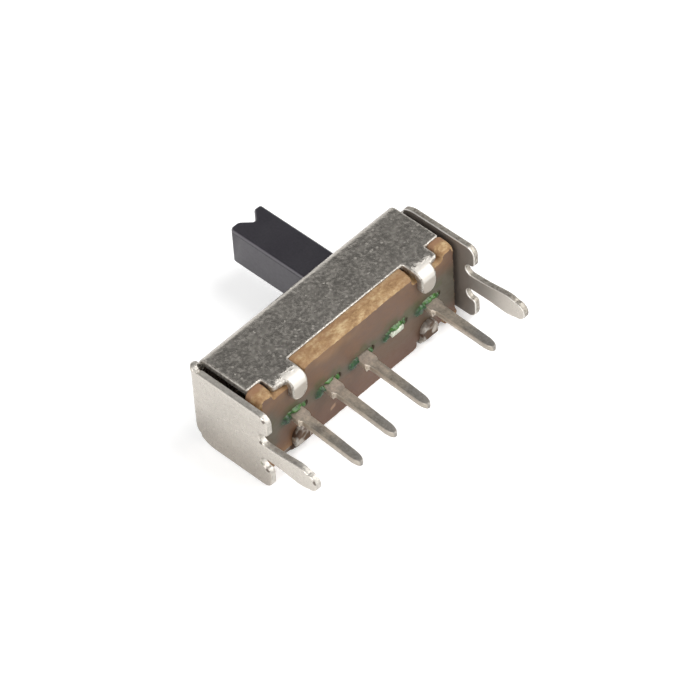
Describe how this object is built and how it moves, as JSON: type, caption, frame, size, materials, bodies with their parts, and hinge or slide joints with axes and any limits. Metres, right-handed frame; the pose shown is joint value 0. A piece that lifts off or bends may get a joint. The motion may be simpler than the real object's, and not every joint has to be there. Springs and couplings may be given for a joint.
{
  "type": "slide switch",
  "caption": "Miniature slide switch with a folded sheet case, crimped terminal board, solder leads in one row, bracket legs and a long lever with a notched tip.",
  "frame": {"origin": "middle of the outer face of the side wall that the switch lies on", "axes": "+X along the slider's travel, +Y out of the lever end and away from the leads, +Z out of the other side wall"},
  "size_m": [0.0126, 0.0123, 0.0044],
  "materials": {
    "case_metal": "plated sheet, satin with fine speckle",
    "board_laminate": "brown paper laminate with lighter sheared edges",
    "terminal_metal": "tin plated, dull",
    "sealant_green": "wet gloss resin",
    "slider_plastic": "moulded, satin",
    "contact_metal": "spring strip, bright"
  },
  "bodies": {
    "housing": {"case": "case_metal", "terminal_board": "board_laminate", "terminal_1": "terminal_metal", "terminal_2": "terminal_metal", "terminal_common": "terminal_metal", "terminal_3": "terminal_metal", "sealant_1": "sealant_green", "sealant_2": "sealant_green", "sealant_3": "sealant_green", "sealant_4": "sealant_green", "sealant_5": "sealant_green"},
    "slider": {"slider": "slider_plastic", "moving_contact": "contact_metal"}
  },
  "joints": [
    {"name": "slider_travel", "type": "slide", "parent": "housing", "child": "slider", "axis": [1, 0, 0], "range_m": [-0.004, 0]}
  ]
}
